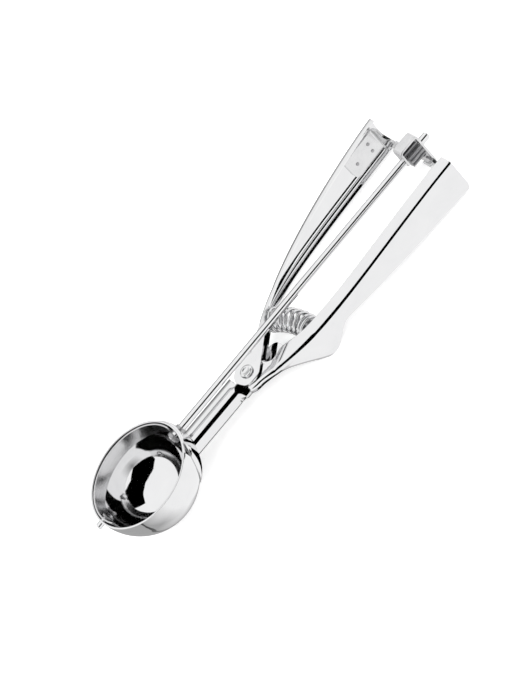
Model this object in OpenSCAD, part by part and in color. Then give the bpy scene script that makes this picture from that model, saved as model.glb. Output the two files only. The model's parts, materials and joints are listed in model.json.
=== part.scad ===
/* [Bowl] */
// Outside diameter of the bowl
bowl_d = 56; // [46:0.5:62]
// Sheet thickness of the bowl
bowl_t = 1.0; // [0.8:0.1:1.4]
// Height of the straight rim above the scraper axis
rim_h = 3.3; // [3:0.1:5]
// Angular radius of the saddle plate that carries the bowl, degrees
saddle_angle = 37.5; // [32:0.5:42]
// Thickness of the saddle plate
saddle_t = 1.5; // [1:0.1:2]

/* [Neck] */
// Distance from the bowl centre to the pivot rivet
pivot_x = 70; // [62:0.5:80]
// Outside width of the neck tube
neck_w = 13; // [12.5:0.5:15]
// Depth of the neck tube
neck_h = 9.9; // [9.8:0.1:12]
// Sheet thickness of the neck
neck_t = 1.2; // [1:0.1:1.5]
// Outside radius of the neck tube's lower corners
neck_fold_r = 3.5; // [2.5:0.1:3.6]
// Outside radius of the neck tube's upper corners
neck_crown_r = 6; // [4:0.1:6]
// Reach of the neck's flat tongue past the rivet
tongue_out = 21; // [14:0.5:22]

/* [Handles] */
// Length of a handle from the pivot rivet to its end
handle_len = 132; // [126:0.5:140]
// Height of a handle channel at the rivet
root_h = 4.4; // [4.2:0.1:5]
// Height of a handle channel at its end
end_h = 21.2; // [18:0.2:24]
// Spread of a handle from the scraper axis, once it runs nearly straight
spread = 26.3; // [24:0.1:28]
// Sheet thickness of the handles
sheet_t = 1.0; // [0.8:0.1:1.2]
// Width of the fixed handle's turned-in flanges
fixed_flange_w = 7; // [6:0.2:7.4]
// Width of the lever's turned-in flanges
lever_flange_w = 5.2; // [4.6:0.2:6]
// Radius of the lower corner at the handles' ends
end_corner_r = 5; // [3:0.5:7]
// Radius of the lever ear round the rivet
ear_r = 7.7; // [7:0.1:8.4]
// Furthest reach of the finger bump beyond the handle's back
bump_out = 3; // [2:0.5:5]
// Furthest drop of the finger bump below the handle
bump_drop = 8.5; // [6:0.5:9.5]

/* [Rivet] */
// Diameter of the pivot rivet's shank
rivet_d = 5; // [4:0.1:6]
// Diameter of the pivot rivet's head
rivet_head_d = 7.2; // [6.6:0.1:8]
// Height of the rivet's head
rivet_head_h = 1.5; // [1:0.1:2]

/* [Scraper] */
// Diameter of the scraper rod
rod_d = 4; // [3.6:0.1:4.6]
// Diameter of the tip pin at the far side of the bowl
tip_pin_d = 3.2; // [2.6:0.1:3.6]
// Length of the tip pin outside the bowl
tip_pin_out = 3.3; // [2:0.1:5]
// Length of the rod's free end outside the rack cage
rod_end_out = 5.3; // [2:0.1:6]
// Width of the scraper blade
blade_w = 8; // [6:0.2:9]
// Thickness of the scraper blade
blade_t = 0.8; // [0.6:0.1:1.2]
// Gap between the scraper blade and the bowl's inner wall
blade_gap = 0.7; // [0.6:0.05:1]
// How far the resting blade lies below level, degrees
blade_rest = 3; // [3:0.5:8]

/* [Rack and pinion] */
// Number of teeth on the pinion
pinion_teeth = 12; // [12:1:13]
// Tooth module
tooth_module = 0.8; // [0.78:0.01:0.82]
// Length of the pinion
pinion_len = 8.4; // [7:0.1:9]
// Thickness of the toothed rack strip
strip_t = 1.5; // [1.2:0.1:1.8]
// Depth of the rack strip below the pitch line
strip_h = 6.7; // [6:0.1:7]
// Length of the rack's welded plate
plate_len = 20; // [16:0.5:24]
// Height of the rack's welded plate
plate_h = 13; // [10:0.5:14]
// Sheet thickness of the rack cage
cage_t = 1.2; // [1:0.1:1.4]
// Width of the rack cage
cage_w = 6.3; // [5.6:0.1:7]

/* [Spring] */
// Outside diameter of the coil spring
spring_d = 13; // [12:0.2:13.6]
// Wire diameter of the spring
wire_d = 1.6; // [1.2:0.1:1.8]
// Number of turns
spring_turns = 8; // [6.5:0.5:9]

/* [Fits] */
// Radial clearance of a running fit
run_gap = 0.05; // [0.03:0.01:0.08]
// Gap between flat faces that slide on each other
face_gap = 0.1; // [0.05:0.01:0.15]
// Play between the meshed teeth, along the pitch line
tooth_play = 0.16; // [0.12:0.01:0.2]

/* [Hidden] */

steel = "silver";
dark_steel = "lightslategray";
fine = 96;

// Scraper axis is the X axis; X = 0 at the outer end of the tip pin
bowl_r = bowl_d / 2;
bowl_x = tip_pin_out + bowl_r;
bowl_in = bowl_r - bowl_t;
saddle_tilt = 25;
saddle_r = bowl_r + saddle_t;
rivet_x = bowl_x + pivot_x;

// Levels of the ears on the rivet, from the top down
ear_top = -9;
fixed_top = ear_top - sheet_t - face_gap;
lever_bottom = ear_top - root_h;
fixed_bottom = fixed_top - root_h;
neck_floor = fixed_bottom - neck_t;
neck_top = neck_floor + neck_h;

// Rod, bush and bowl wall
rod_r = rod_d / 2;
bush_wall = 0.6;
bush_r = rod_r + run_gap + bush_wall;
tip_r = tip_pin_d / 2;
hole_tip_r = tip_r + run_gap;
blade_out = bowl_in - blade_gap;
blade_in = blade_out - blade_t;
collar_len = 2;
collar_r = rod_r + 1.1;
collar_gap = 0.25;

// Gearing: the rack strip is an arc about the rivet, the pinion lies across its top edge
pinion_r = tooth_module * pinion_teeth / 2;
pressure = 25;
addendum = 0.65;
dedendum = 0.9;
pitch = PI * tooth_module;
rack_r = handle_len + 0.6;
pitch_angle = pitch / rack_r * 180 / PI;
sweep = 180 - 2 * blade_rest;
lever_travel = sweep * pinion_r / rack_r;
strip_x = rivet_x + rack_r;
rack_tip_z = -(pinion_r - addendum);
strip_bottom = -(pinion_r + strip_h);
gap_count = ceil(lever_travel / pitch_angle) + 2;
pinion_x0 = strip_x + strip_t / 2 + 0.25 - pinion_len;

// Cage round the pinion and the strip
cage_x0 = pinion_x0 - 0.6 - cage_t;
cage_x1 = strip_x + strip_t / 2 + 0.9 + cage_t;
cage_top = pinion_r + addendum + 1.1 + cage_t;
cage_floor = strip_bottom - 0.5 - cage_t;
rod_x0 = bowl_x + blade_in - collar_len - collar_gap - 0.6;
rod_x1 = cage_x1 + rod_end_out;

// Back of a handle, as a distance from the scraper axis at x past the rivet
bend_x = 22.2;
drift = 0.05;
root_out = 9.9;
root_fade = 9.5;
function back_y(x, extra = 0) =
    spread * (1 - exp(-x / bend_x)) + drift * x + extra * exp(-x / root_fade);

// Top edge of a handle: level to rise_x, then rising to its end
rise_x = 20;
rise_power = 1.45;
function top_z(x, low, high) =
    x <= rise_x ? low
    : low + (high - low) * (1 - pow(max(0, 1 - (x - rise_x) / (handle_len - rise_x)), rise_power));
end_top = lever_bottom + end_h;
web_x = 8.5;
stations = [0, 1.5, 3, 5, 7, web_x, 10, 12.5, 15, 17.5, 20, 23, 27, 31, 36, 42, 50, 60, 72, 86,
    100, 116, handle_len];
function from_x(a) = [for (x = stations) if (x >= a) x];

// Coil spring: its axis bows from the fixed seat to the lever seat
seat_t = 1;
seat_r = spring_d / 2 - 0.5;
spring_z = -10.4;
near_x = 35;
far_x = 26.8;
near_reach = 4;
far_reach = 2.9;
near_seat = [rivet_x + near_x, -(back_y(near_x) - fixed_flange_w - near_reach)];
far_seat = [rivet_x + far_x, back_y(far_x) - lever_flange_w - far_reach];
spring_bow = [rivet_x + near_x, 0];
seat_gap = 0.15;
peg_r = root_h / 2 - sheet_t - 0.1;
function reverse(v) = [for (i = [len(v) - 1:-1:0]) v[i]];

// ---------- bowl ----------

module bowl_outer(r, top) {
    intersection() {
        union() {
            translate([bowl_x, 0, 0]) sphere(r, $fn = fine);
            translate([bowl_x, 0, 0]) cylinder(r = r, h = top, $fn = fine);
        }
        translate([bowl_x - 2 * bowl_r, -2 * bowl_r, -2 * bowl_r])
            cube([4 * bowl_r, 4 * bowl_r, 2 * bowl_r + top]);
    }
}

module bowl() {
    color(steel) difference() {
        bowl_outer(bowl_r, rim_h);
        bowl_outer(bowl_in, rim_h + 1);
        rotate([0, 90, 0]) cylinder(r = hole_tip_r, h = bowl_r, $fn = 48);
        translate([bowl_x, 0, 0]) rotate([0, 90, 0]) cylinder(r = bush_r, h = bowl_r + 2, $fn = 48);
    }
}

module bowl_saddle() {
    top = rim_h - 0.4;
    color(steel) intersection() {
        translate([bowl_x, 0, 0]) rotate([0, 90 + saddle_tilt, 0])
            cylinder(r = saddle_r * sin(saddle_angle), h = 2 * bowl_r, $fn = fine);
        difference() {
            translate([bowl_x, 0, 0]) sphere(saddle_r, $fn = fine);
            translate([bowl_x, 0, 0]) sphere(bowl_r, $fn = fine);
            translate([bowl_x, 0, 0]) cylinder(r = bowl_r, h = bowl_r, $fn = fine);
            translate([-bowl_r, -2 * bowl_r, top]) cube(4 * bowl_r);
            translate([bowl_x, 0, 0]) rotate([0, 90, 0]) cylinder(r = bush_r, h = bowl_r + 4, $fn = 48);
        }
    }
}

module rod_bush() {
    color(dark_steel) translate([bowl_x + bowl_in - 0.5, 0, 0]) rotate([0, 90, 0]) difference() {
        cylinder(r = bush_r, h = bowl_t + saddle_t + 1.3, $fn = 48);
        translate([0, 0, -1]) cylinder(r = rod_r + run_gap, h = 9, $fn = 48);
    }
}

// ---------- neck ----------

wall_end = 10;
tongue_r = neck_w / 2 - 1;
module neck_section(inset) {
    w = neck_w / 2 - inset;
    r = neck_fold_r - inset;
    crown = neck_crown_r - inset;
    low = neck_floor + inset;
    high = neck_top - inset;
    for (side = [-1, 1])
        translate([side * (w - r), low + r]) circle(r, $fn = 48);
    translate([-w + r, low]) square([2 * (w - r), r]);
    translate([-w, low + r]) square([2 * w, high - crown - low - r]);
    intersection() {
        translate([-w, high - crown]) square([2 * w, crown]);
        union() {
            for (side = [-1, 1])
                translate([side * (w - crown), high - crown]) circle(crown, $fn = 64);
            translate([-w + crown, high - crown]) square([2 * (w - crown), crown]);
        }
    }
}

module neck() {
    color(steel) difference() {
        union() {
            translate([bowl_x, 0, 0]) rotate([90, 0, 90]) linear_extrude(pivot_x - wall_end) difference() {
                neck_section(0);
                neck_section(neck_t);
            }
            translate([rivet_x - wall_end - 1, neck_fold_r - neck_w / 2, neck_floor])
                cube([wall_end + 1, neck_w - 2 * neck_fold_r, neck_t]);
            translate([rivet_x - wall_end, -tongue_r, neck_floor])
                cube([wall_end + tongue_out - tongue_r, 2 * tongue_r, neck_t]);
            translate([rivet_x + tongue_out - tongue_r, 0, neck_floor])
                cylinder(r = tongue_r, h = neck_t, $fn = 64);
        }
        translate([bowl_x, 0, 0]) sphere(saddle_r, $fn = fine);
        translate([rivet_x, 0, neck_floor - 1]) cylinder(d = rivet_d, h = neck_t + 2, $fn = 48);
    }
}

module tang_welds() {
    color(dark_steel) for (y = [-3.2, 3.2])
        translate([rivet_x - 5.8, y, neck_floor - 0.3]) cylinder(r = 0.9, h = 0.3, $fn = 32);
}

module at_rivet() {
    translate([rivet_x, 0, 0]) children();
}

// ---------- handles ----------

// Plan of the flanges, with the back at positive y. The lever's flange widens to its ear in a
// straight line; the fixed one widens to a plate whose edge runs beside the ears
join_lever_x = 27;
join_fixed_x = 31;
plate_edge = ear_r + 0.3;
plate_slope = 0.2;
plate_x = 4.7;
plate_notch = [3.2, 6.9];
ear_step = 0.4;
root_y = 3.5;
lap = 0.01;
module handle_plan(extra) {
    fixed = extra > 0;
    flange = fixed ? fixed_flange_w : lever_flange_w;
    inner = [for (x = from_x(fixed ? join_fixed_x : join_lever_x)) [x, back_y(x, extra) - flange]];
    outer = [for (x = from_x(fixed ? 0 : web_x)) [x, back_y(x, extra)]];
    ear = fixed ? [[rise_x, plate_edge + plate_slope], [plate_x, plate_edge], plate_notch]
        : [[0.42 * ear_r, -0.83 * ear_r]];
    polygon(concat([[0, 0], [0, ear_r - ear_step]], outer, reverse(inner), ear));
    if (fixed) intersection() {
        circle(root_out, $fn = fine);
        translate([-root_out, root_y]) square([root_out + lap, root_out]);
    }
}

// Everything on the inner side of the web; past_end and wide clear the handle on every side
past_end = end_corner_r;
wide = 2 * root_out;
module cavity_plan(extra) {
    fixed = extra > 0;
    start = fixed ? 0 : web_x;
    side = fixed ? root_y - lap : wide;
    line = [for (x = from_x(start)) [x, back_y(x, extra) - sheet_t]];
    past = [handle_len + past_end, back_y(handle_len, extra) - sheet_t];
    polygon(concat([[-wide, -wide], [-wide, side], [start, side]], line,
        [past, [handle_len + past_end, -wide]]));
    if (fixed) circle(root_out - sheet_t, $fn = fine);
}

// Side view of a handle, x along the scraper axis and y upwards
module handle_side(low, root_top, inset) {
    x1 = handle_len + (inset > 0 ? past_end : 0);
    r = end_corner_r;
    bottom = low + inset;
    tops = [for (x = from_x(rise_x)) [x, top_z(x, root_top, end_top) - inset]];
    last = [x1, end_top - inset];
    corner = inset > 0 ? [[x1, bottom]]
        : [for (a = [0:-15:-90]) [x1 - r + r * cos(a), bottom + r + r * sin(a)]];
    polygon(concat([[-wide, bottom], [-wide, root_top - inset]], tops, [last], corner));
}

module handle_shell(extra, low, root_top) {
    translate([0, 0, low]) cylinder(r = ear_r, h = sheet_t, $fn = fine);
    translate([0, 0, root_top - sheet_t]) cylinder(r = ear_r, h = sheet_t, $fn = fine);
    difference() {
        intersection() {
            translate([0, 0, -60]) linear_extrude(120) handle_plan(extra);
            rotate([90, 0, 0]) linear_extrude(120, center = true) handle_side(low, root_top, 0);
        }
        intersection() {
            translate([0, 0, -60]) linear_extrude(120) cavity_plan(extra);
            rotate([90, 0, 0]) linear_extrude(140, center = true) handle_side(low, root_top, sheet_t);
        }
    }
}

// Finger bump, pressed out of the back and the lower edge of the fixed handle
bump_x = 33;
bump_edge = [14, 24, 42, 52];
bump_brow = [24, bump_x, 44];
bump_brow_z = -9.6;
bump_half = 3;
bump_tip_r = 2;
bump_edge_r = 0.6;
bump_lift = 0.4;
module bump_hull(inset) {
    r = bump_edge_r;
    tip = bump_tip_r;
    deeper = 1.1 * inset;
    hull() {
        for (x = bump_edge)
            translate([x, back_y(x, root_out) - r - inset, fixed_bottom + r + bump_lift + inset])
                sphere(r, $fn = 16);
        for (x = bump_brow)
            translate([x, back_y(x, root_out) - r - inset, bump_brow_z]) sphere(r, $fn = 16);
        for (d = [-bump_half, bump_half])
            translate([bump_x + d, back_y(bump_x) + bump_out - tip - deeper,
                fixed_bottom - bump_drop + tip + deeper]) sphere(tip - 0.2 * inset, $fn = 24);
    }
}

module fixed_handle() {
    color(steel) difference() {
        at_rivet() mirror([0, 1, 0]) difference() {
            union() {
                handle_shell(root_out, fixed_bottom, fixed_top);
                bump_hull(0);
            }
            bump_hull(sheet_t);
        }
        translate([rivet_x, 0, -30]) cylinder(d = rivet_d, h = 60, $fn = 48);
    }
}

module lever_handle() {
    color(steel) difference() {
        at_rivet() union() handle_shell(0, lever_bottom, ear_top);
        translate([rivet_x, 0, -30]) cylinder(r = rivet_d / 2 + run_gap, h = 60, $fn = 48);
    }
}

module pivot_rivet() {
    head_r = rivet_head_d / 2;
    low = neck_floor;
    color(dark_steel) at_rivet() rotate_extrude($fn = 64) polygon([
        [0, low - 1.2], [head_r - 0.9, low - 1.2], [head_r - 0.3, low - 0.6], [head_r - 0.3, low],
        [rivet_d / 2, low], [rivet_d / 2, ear_top + face_gap],
        [head_r, ear_top + face_gap], [head_r, ear_top + 0.6],
        [head_r - 0.7, ear_top + rivet_head_h - 0.15], [head_r - 1.3, ear_top + rivet_head_h],
        [head_r - 1.7, ear_top + rivet_head_h - 0.05], [head_r - 2.1, ear_top + rivet_head_h - 0.6],
        [0, ear_top + rivet_head_h - 0.7]
    ]);
}

// ---------- rack and pinion ----------

bend_r = 2.9;
weld_gap = 0.03;
strip_out = rack_r + strip_t / 2;
strip_in = rack_r - strip_t / 2;
function plate_y(x) = back_y(x) - sheet_t - weld_gap;
bend_y = plate_y(handle_len - 5) - bend_r;
bend_cx = sqrt(strip_out * strip_out - bend_y * bend_y) - bend_r;
strip_end = -12;
plate_z = -10;

module plate_plan() {
    xs = [for (i = [0:4]) bend_cx - plate_len * (1 - i / 4)];
    face = [for (x = xs) [x, plate_y(x)]];
    inner = [for (x = xs) [x, plate_y(x) - strip_t]];
    polygon(concat(face, [[bend_cx + 0.1, bend_y + bend_r], [bend_cx + 0.1, bend_y + bend_r - strip_t]],
        reverse(inner)));
}

plate_corner_r = 3;
module plate() {
    intersection() {
        linear_extrude(80, center = true) plate_plan();
        rotate([90, 0, 0]) linear_extrude(90, center = true) {
            x0 = bend_cx - plate_len;
            r = plate_corner_r;
            translate([x0 + r, plate_z + r]) circle(r, $fn = 48);
            translate([x0 + r, plate_z]) square([plate_len, plate_h]);
            translate([x0, plate_z + r]) square([plate_len, plate_h - r]);
        }
    }
}

module bend() {
    intersection() {
        translate([bend_cx, bend_y, plate_z]) difference() {
            cylinder(r = bend_r, h = plate_h, $fn = 64);
            translate([0, 0, -1]) cylinder(r = bend_r - strip_t, h = plate_h + 2, $fn = 64);
        }
        translate([bend_cx, bend_y - 0.2, -40]) cube([bend_r + 1, bend_r + 1.2, 80]);
    }
}

// Edge of the strip: it steps down from the bend to the teeth, and its corners are cut off
strip_corner = 2;
step_x = [1, 3.2, 6.2];
step_up = 2.4;
module strip() {
    top = plate_z + plate_h;
    corner = strip_corner;
    intersection() {
        difference() {
            translate([0, 0, -40]) cylinder(r = strip_out, h = 80, $fn = 360);
            translate([0, 0, -41]) cylinder(r = strip_in, h = 82, $fn = 360);
            for (i = [-2:gap_count]) rotate([0, 0, i * pitch_angle]) tooth_gap();
        }
        translate([rack_r - 40, 0, 0]) rotate([90, 0, 90]) linear_extrude(80) polygon([
            [bend_y, plate_z], [bend_y, top], [bend_y - step_x[0], top],
            [bend_y - step_x[1], rack_tip_z + step_up], [bend_y - step_x[2], rack_tip_z],
            [strip_end + corner, rack_tip_z], [strip_end, rack_tip_z - corner],
            [strip_end, strip_bottom + corner], [strip_end + corner, strip_bottom],
            [bend_y - 3 * corner, strip_bottom], [bend_y - 1.5 * corner, plate_z]
        ]);
        translate([rack_r - 20, -40, -40]) cube([40, 90, 80]);
    }
}

module tooth_gap() {
    half = (pitch / 2 + tooth_play / 2) / 2;
    top = addendum + 0.5;
    translate([rack_r - 5, 0, -pinion_r]) rotate([90, 0, 90]) linear_extrude(10) polygon([
        [-half - top * tan(pressure), top], [half + top * tan(pressure), top],
        [half - dedendum * tan(pressure), -dedendum], [-half + dedendum * tan(pressure), -dedendum]
    ]);
}

stop_y = -(cage_w / 2 + 1.4);
stop_z = strip_bottom + 2.4;
stop_r = 0.9;
module rack() {
    color(steel) difference() {
        at_rivet() union() {
            plate();
            bend();
            strip();
        }
        stop_pin(5);
    }
}

module stop_pin(len) {
    translate([strip_x - len / 2, stop_y, stop_z]) rotate([0, 90, 0]) cylinder(r = stop_r, h = len, $fn = 32);
}

module rack_stop() {
    color(dark_steel) stop_pin(strip_t + 2);
}

module rack_welds() {
    spots = [[-4.6, -1], [-5, -6], [-15, -3.6]];
    color(dark_steel) at_rivet() for (p = spots) {
        x = bend_cx + p[0];
        slope = atan(plate_y(x + 0.5) - plate_y(x - 0.5));
        translate([x, plate_y(x) - strip_t - weld_gap, p[1]]) rotate([90, 0, slope])
            cylinder(r = 0.9, h = 0.25, $fn = 32);
    }
}

// Involute flank of a pinion tooth: point at radius r, for a tooth centred on angle 0
base_r = pinion_r * cos(pressure);
function inv(a) = tan(a) - a * PI / 180;
function flank_angle(r) =
    ((pitch / 2 - tooth_play / 2) / (2 * pinion_r) + inv(pressure) - inv(acos(base_r / r))) * 180 / PI;
root_r = pinion_r - dedendum + 0.05;
tip_radii = [base_r + 0.01, base_r + 0.3, pinion_r, pinion_r + 0.35, pinion_r + addendum];
function tooth(a) = concat(
    [polar(root_r, a - flank_angle(tip_radii[0]) - 1)],
    [for (r = tip_radii) polar(r, a - flank_angle(r))],
    [for (r = reverse(tip_radii)) polar(r, a + flank_angle(r))],
    [polar(root_r, a + flank_angle(tip_radii[0]) + 1)]);
function polar(r, a) = [r * cos(a), r * sin(a)];

module pinion() {
    points = [for (i = [0:pinion_teeth - 1]) each tooth(-90 + i * 360 / pinion_teeth)];
    color(dark_steel) translate([pinion_x0, 0, 0]) rotate([90, 0, 90]) difference() {
        linear_extrude(pinion_len) polygon(points);
        translate([0, 0, -1]) cylinder(r = rod_r, h = pinion_len + 2, $fn = 48);
    }
}

// The near leg ends in a half circle round the rod; the floor ends just short of the strip
cage_lobe = 0.6;
module rack_cage() {
    hole_r = rod_r + run_gap;
    lobe_z = cage_lobe - cage_w / 2;
    color(steel) difference() {
        intersection() {
            translate([0, cage_w / 2, 0]) rotate([90, 0, 0]) linear_extrude(cage_w) difference() {
                translate([cage_x0, cage_floor]) square([cage_x1 - cage_x0, cage_top - cage_floor]);
                translate([cage_x0 + cage_t, cage_floor + cage_t])
                    square([cage_x1 - cage_x0 - 2 * cage_t, cage_top - cage_floor - 2 * cage_t]);
                translate([cage_x0 - 1, cage_floor - 1])
                    square([strip_x - strip_t / 2 - 1 - cage_x0, cage_t + 1 + lap]);
                translate([cage_x0 - 1, cage_floor - 1])
                    square([cage_t + 1 + lap, cage_lobe - cage_w - cage_floor + 1]);
            }
            union() {
                translate([cage_x0 + cage_t, -cage_w, -30]) cube([40, 2 * cage_w, 60]);
                translate([cage_x0 - 1, -cage_w / 2, lobe_z]) cube([cage_t + 2, cage_w, 30]);
                translate([cage_x0 - 1, 0, lobe_z]) rotate([0, 90, 0])
                    cylinder(d = cage_w, h = cage_t + 2, $fn = 48);
            }
        }
        translate([cage_x0 - 1, 0, 0]) rotate([0, 90, 0]) cylinder(r = hole_r, h = 30, $fn = 48);
    }
}

// ---------- scraper ----------

module scraper_rod() {
    color(steel) translate([rod_x0, 0, 0]) rotate([0, 90, 0]) union() {
        cylinder(r = rod_r, h = rod_x1 - rod_x0 - 0.6, $fn = 48);
        translate([0, 0, rod_x1 - rod_x0 - 0.6]) cylinder(r1 = rod_r, r2 = rod_r - 0.6, h = 0.6, $fn = 48);
    }
}

module rod_collar() {
    color(dark_steel) translate([bowl_x + blade_in - collar_len - collar_gap, 0, 0])
        rotate([0, 90, 0]) difference() {
        cylinder(r = collar_r, h = collar_len, $fn = 48);
        translate([0, 0, -1]) cylinder(r = rod_r, h = collar_len + 2, $fn = 48);
    }
}

lug = 8;
module scraper_blade() {
    color(steel) translate([bowl_x, 0, 0]) difference() {
        rotate([-blade_rest, 0, 0]) rotate([0, 0, -lug]) rotate_extrude(angle = 180 + 2 * lug, $fn = 180)
            translate([blade_in, -blade_w / 2]) square([blade_t, blade_w]);
        rotate([0, 90, 0]) cylinder(r = rod_r, h = bowl_r, $fn = 48);
        rotate([0, -90, 0]) cylinder(r = tip_r, h = bowl_r, $fn = 48);
    }
}

module tip_pin() {
    length = tip_pin_out + bowl_r - blade_in + 1.2;
    color(steel) rotate([0, 90, 0]) union() {
        cylinder(r1 = tip_r - 0.5, r2 = tip_r, h = 0.5, $fn = 48);
        translate([0, 0, 0.5]) cylinder(r = tip_r, h = length - 0.5, $fn = 48);
    }
}

module tip_collar() {
    color(dark_steel) translate([bowl_x - blade_in + collar_gap, 0, 0]) rotate([0, 90, 0]) difference() {
        cylinder(r = tip_r + 1, h = 0.9, $fn = 48);
        translate([0, 0, -1]) cylinder(r = tip_r, h = 3, $fn = 48);
    }
}

// ---------- spring ----------

function bow(t) = (1 - t) * (1 - t) * near_seat + 2 * t * (1 - t) * spring_bow + t * t * far_seat;
function bow_dir(t) =
    let (d = (1 - t) * (spring_bow - near_seat) + t * (far_seat - spring_bow)) d / norm(d);
coil_r = (spring_d - wire_d) / 2;
coil_steps = 14;
wire_sides = 8;
ring_count = round(spring_turns * coil_steps);
dead_turns = 1;
function coil_t(i) =
    let (n = i / coil_steps, closed = wire_d * 1.08 / norm(far_seat - near_seat),
        live = spring_turns - 2 * dead_turns,
        start = (wire_d / 2 + seat_gap) / norm(far_seat - near_seat),
        span = 1 - 2 * start - 2 * closed * dead_turns)
    n < dead_turns ? start + closed * n
    : n > spring_turns - dead_turns ? 1 - start - closed * (spring_turns - n)
    : start + closed * dead_turns + span * (n - dead_turns) / live;
function coil_ring(i) =
    let (t = coil_t(i), a = i * 360 / coil_steps, c = bow(t), d = bow_dir(t), n = [-d[1], d[0], 0],
        e = n * cos(a) + [0, 0, sin(a)], axis = [d[0], d[1], 0], p = [c[0], c[1], spring_z] + coil_r * e)
    [for (k = [0:wire_sides - 1])
        p + wire_d / 2 * (cos(k * 360 / wire_sides) * e + sin(k * 360 / wire_sides) * axis)];

module coil_spring() {
    points = [for (i = [0:ring_count]) each coil_ring(i)];
    sides = [for (i = [0:ring_count - 1], k = [0:wire_sides - 1])
        let (a = i * wire_sides + k, b = i * wire_sides + (k + 1) % wire_sides)
        [a, b, b + wire_sides, a + wire_sides]];
    first = [for (k = [wire_sides - 1:-1:0]) k];
    last = [for (k = [0:wire_sides - 1]) ring_count * wire_sides + k];
    color(steel) polyhedron(points, concat(sides, [first, last]));
}

// Disc against the end of the spring, on a peg that reaches the handle's web
module spring_seat(place, dir, peg_z) {
    angle = atan2(dir[1], dir[0]);
    peg_len = 2 * fixed_flange_w;
    translate([place[0], place[1], spring_z]) rotate([0, 0, angle]) rotate([0, 90, 0]) {
        translate([0, 0, -seat_t]) cylinder(r = seat_r, h = seat_t, $fn = 64);
        cylinder(r1 = seat_r - wire_d - 0.4, r2 = seat_r - wire_d - 1.2, h = 2.4, $fn = 48);
        translate([spring_z - peg_z, 0, -peg_len]) cylinder(r = peg_r, h = peg_len, $fn = 48);
    }
}

module seat_space(extra) {
    at_rivet() translate([0, 0, -40]) linear_extrude(80) cavity_plan(extra);
}

module fixed_spring_seat() {
    color(dark_steel) intersection() {
        spring_seat(near_seat, bow_dir(0), fixed_bottom + root_h / 2);
        mirror([0, 1, 0]) seat_space(root_out);
    }
}

module lever_spring_seat() {
    color(dark_steel) intersection() {
        spring_seat(far_seat, -bow_dir(1), lever_bottom + root_h / 2);
        seat_space(0);
    }
}

bowl();
bowl_saddle();
rod_bush();
neck();
fixed_handle();
lever_handle();
pivot_rivet();
tang_welds();
rack();
rack_welds();
rack_stop();
pinion();
scraper_rod();
rod_collar();
scraper_blade();
tip_pin();
tip_collar();
rack_cage();
coil_spring();
fixed_spring_seat();
lever_spring_seat();
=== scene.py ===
import json
import math

import bmesh
import bpy
from mathutils import Matrix, Vector

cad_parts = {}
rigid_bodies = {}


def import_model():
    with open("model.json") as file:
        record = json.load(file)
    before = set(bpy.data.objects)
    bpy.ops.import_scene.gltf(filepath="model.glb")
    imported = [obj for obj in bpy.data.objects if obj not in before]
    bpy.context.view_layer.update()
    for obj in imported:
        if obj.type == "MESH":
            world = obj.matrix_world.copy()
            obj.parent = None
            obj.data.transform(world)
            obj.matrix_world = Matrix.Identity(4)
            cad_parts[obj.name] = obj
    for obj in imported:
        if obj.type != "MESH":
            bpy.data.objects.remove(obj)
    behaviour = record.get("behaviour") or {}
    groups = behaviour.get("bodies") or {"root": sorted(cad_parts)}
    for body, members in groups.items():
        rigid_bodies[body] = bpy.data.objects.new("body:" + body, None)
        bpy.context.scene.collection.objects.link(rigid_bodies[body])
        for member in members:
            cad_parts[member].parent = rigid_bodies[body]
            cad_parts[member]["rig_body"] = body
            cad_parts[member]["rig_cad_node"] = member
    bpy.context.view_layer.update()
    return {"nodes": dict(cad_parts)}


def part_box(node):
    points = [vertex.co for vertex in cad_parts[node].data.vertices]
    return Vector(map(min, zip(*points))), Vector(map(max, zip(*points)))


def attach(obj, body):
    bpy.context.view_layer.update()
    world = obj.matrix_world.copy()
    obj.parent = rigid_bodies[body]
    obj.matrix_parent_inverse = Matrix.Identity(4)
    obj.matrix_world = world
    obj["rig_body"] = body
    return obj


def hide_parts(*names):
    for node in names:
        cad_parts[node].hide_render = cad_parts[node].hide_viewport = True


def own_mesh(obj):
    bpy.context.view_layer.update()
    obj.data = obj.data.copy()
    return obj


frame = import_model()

bpy.ops.object.select_all(action="DESELECT")
mm = 0.001
weldGap = 0.002 * mm  # corners closer than this become one
blank = 10 * mm  # size of a primitive before it is shaped


def say(stage):
    print("scoop:", stage)


def tidy(value):  # packed corners are a few microns off
    return round(value, 5)


bowlLow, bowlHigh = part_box("bowl")
bowlRadius = tidy((bowlHigh.x - bowlLow.x) / 2)
bowlX = tidy((bowlHigh.x + bowlLow.x) / 2)
rivetLow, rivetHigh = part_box("pivot_rivet")
rivetX = tidy((rivetLow.x + rivetHigh.x) / 2)
rodLow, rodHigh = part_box("scraper_rod")
rodRadius = tidy(rodHigh.y)
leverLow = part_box("lever_handle")[0]


def makeActive(obj):
    bpy.ops.object.select_all(action="DESELECT")
    obj.select_set(True)
    bpy.context.view_layer.objects.active = obj


def applyModifier(obj, kind, **values):
    makeActive(obj)
    modifier = obj.modifiers.new(kind.lower(), kind)
    for name, value in values.items():
        setattr(modifier, name, value)
    bpy.ops.object.modifier_apply(modifier=modifier.name)


def softenEdges(obj, width, segments=3, angle=32):
    applyModifier(obj, "BEVEL", width=width, segments=segments, limit_method="ANGLE",
                  angle_limit=math.radians(angle))


def smoothFaces(obj, angle=34):
    makeActive(obj)
    bpy.ops.object.shade_smooth_by_angle(angle=math.radians(angle))
    applyModifier(obj, "WEIGHTED_NORMAL", keep_sharp=True, weight=80)


def editAll(obj):
    makeActive(obj)
    bpy.ops.object.mode_set(mode="EDIT")
    bpy.ops.mesh.select_all(action="SELECT")


def cleanShell(obj):
    editAll(obj)
    bpy.ops.mesh.remove_doubles(threshold=weldGap)
    bpy.ops.mesh.normals_make_consistent(inside=False)
    bpy.ops.object.mode_set(mode="OBJECT")


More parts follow.
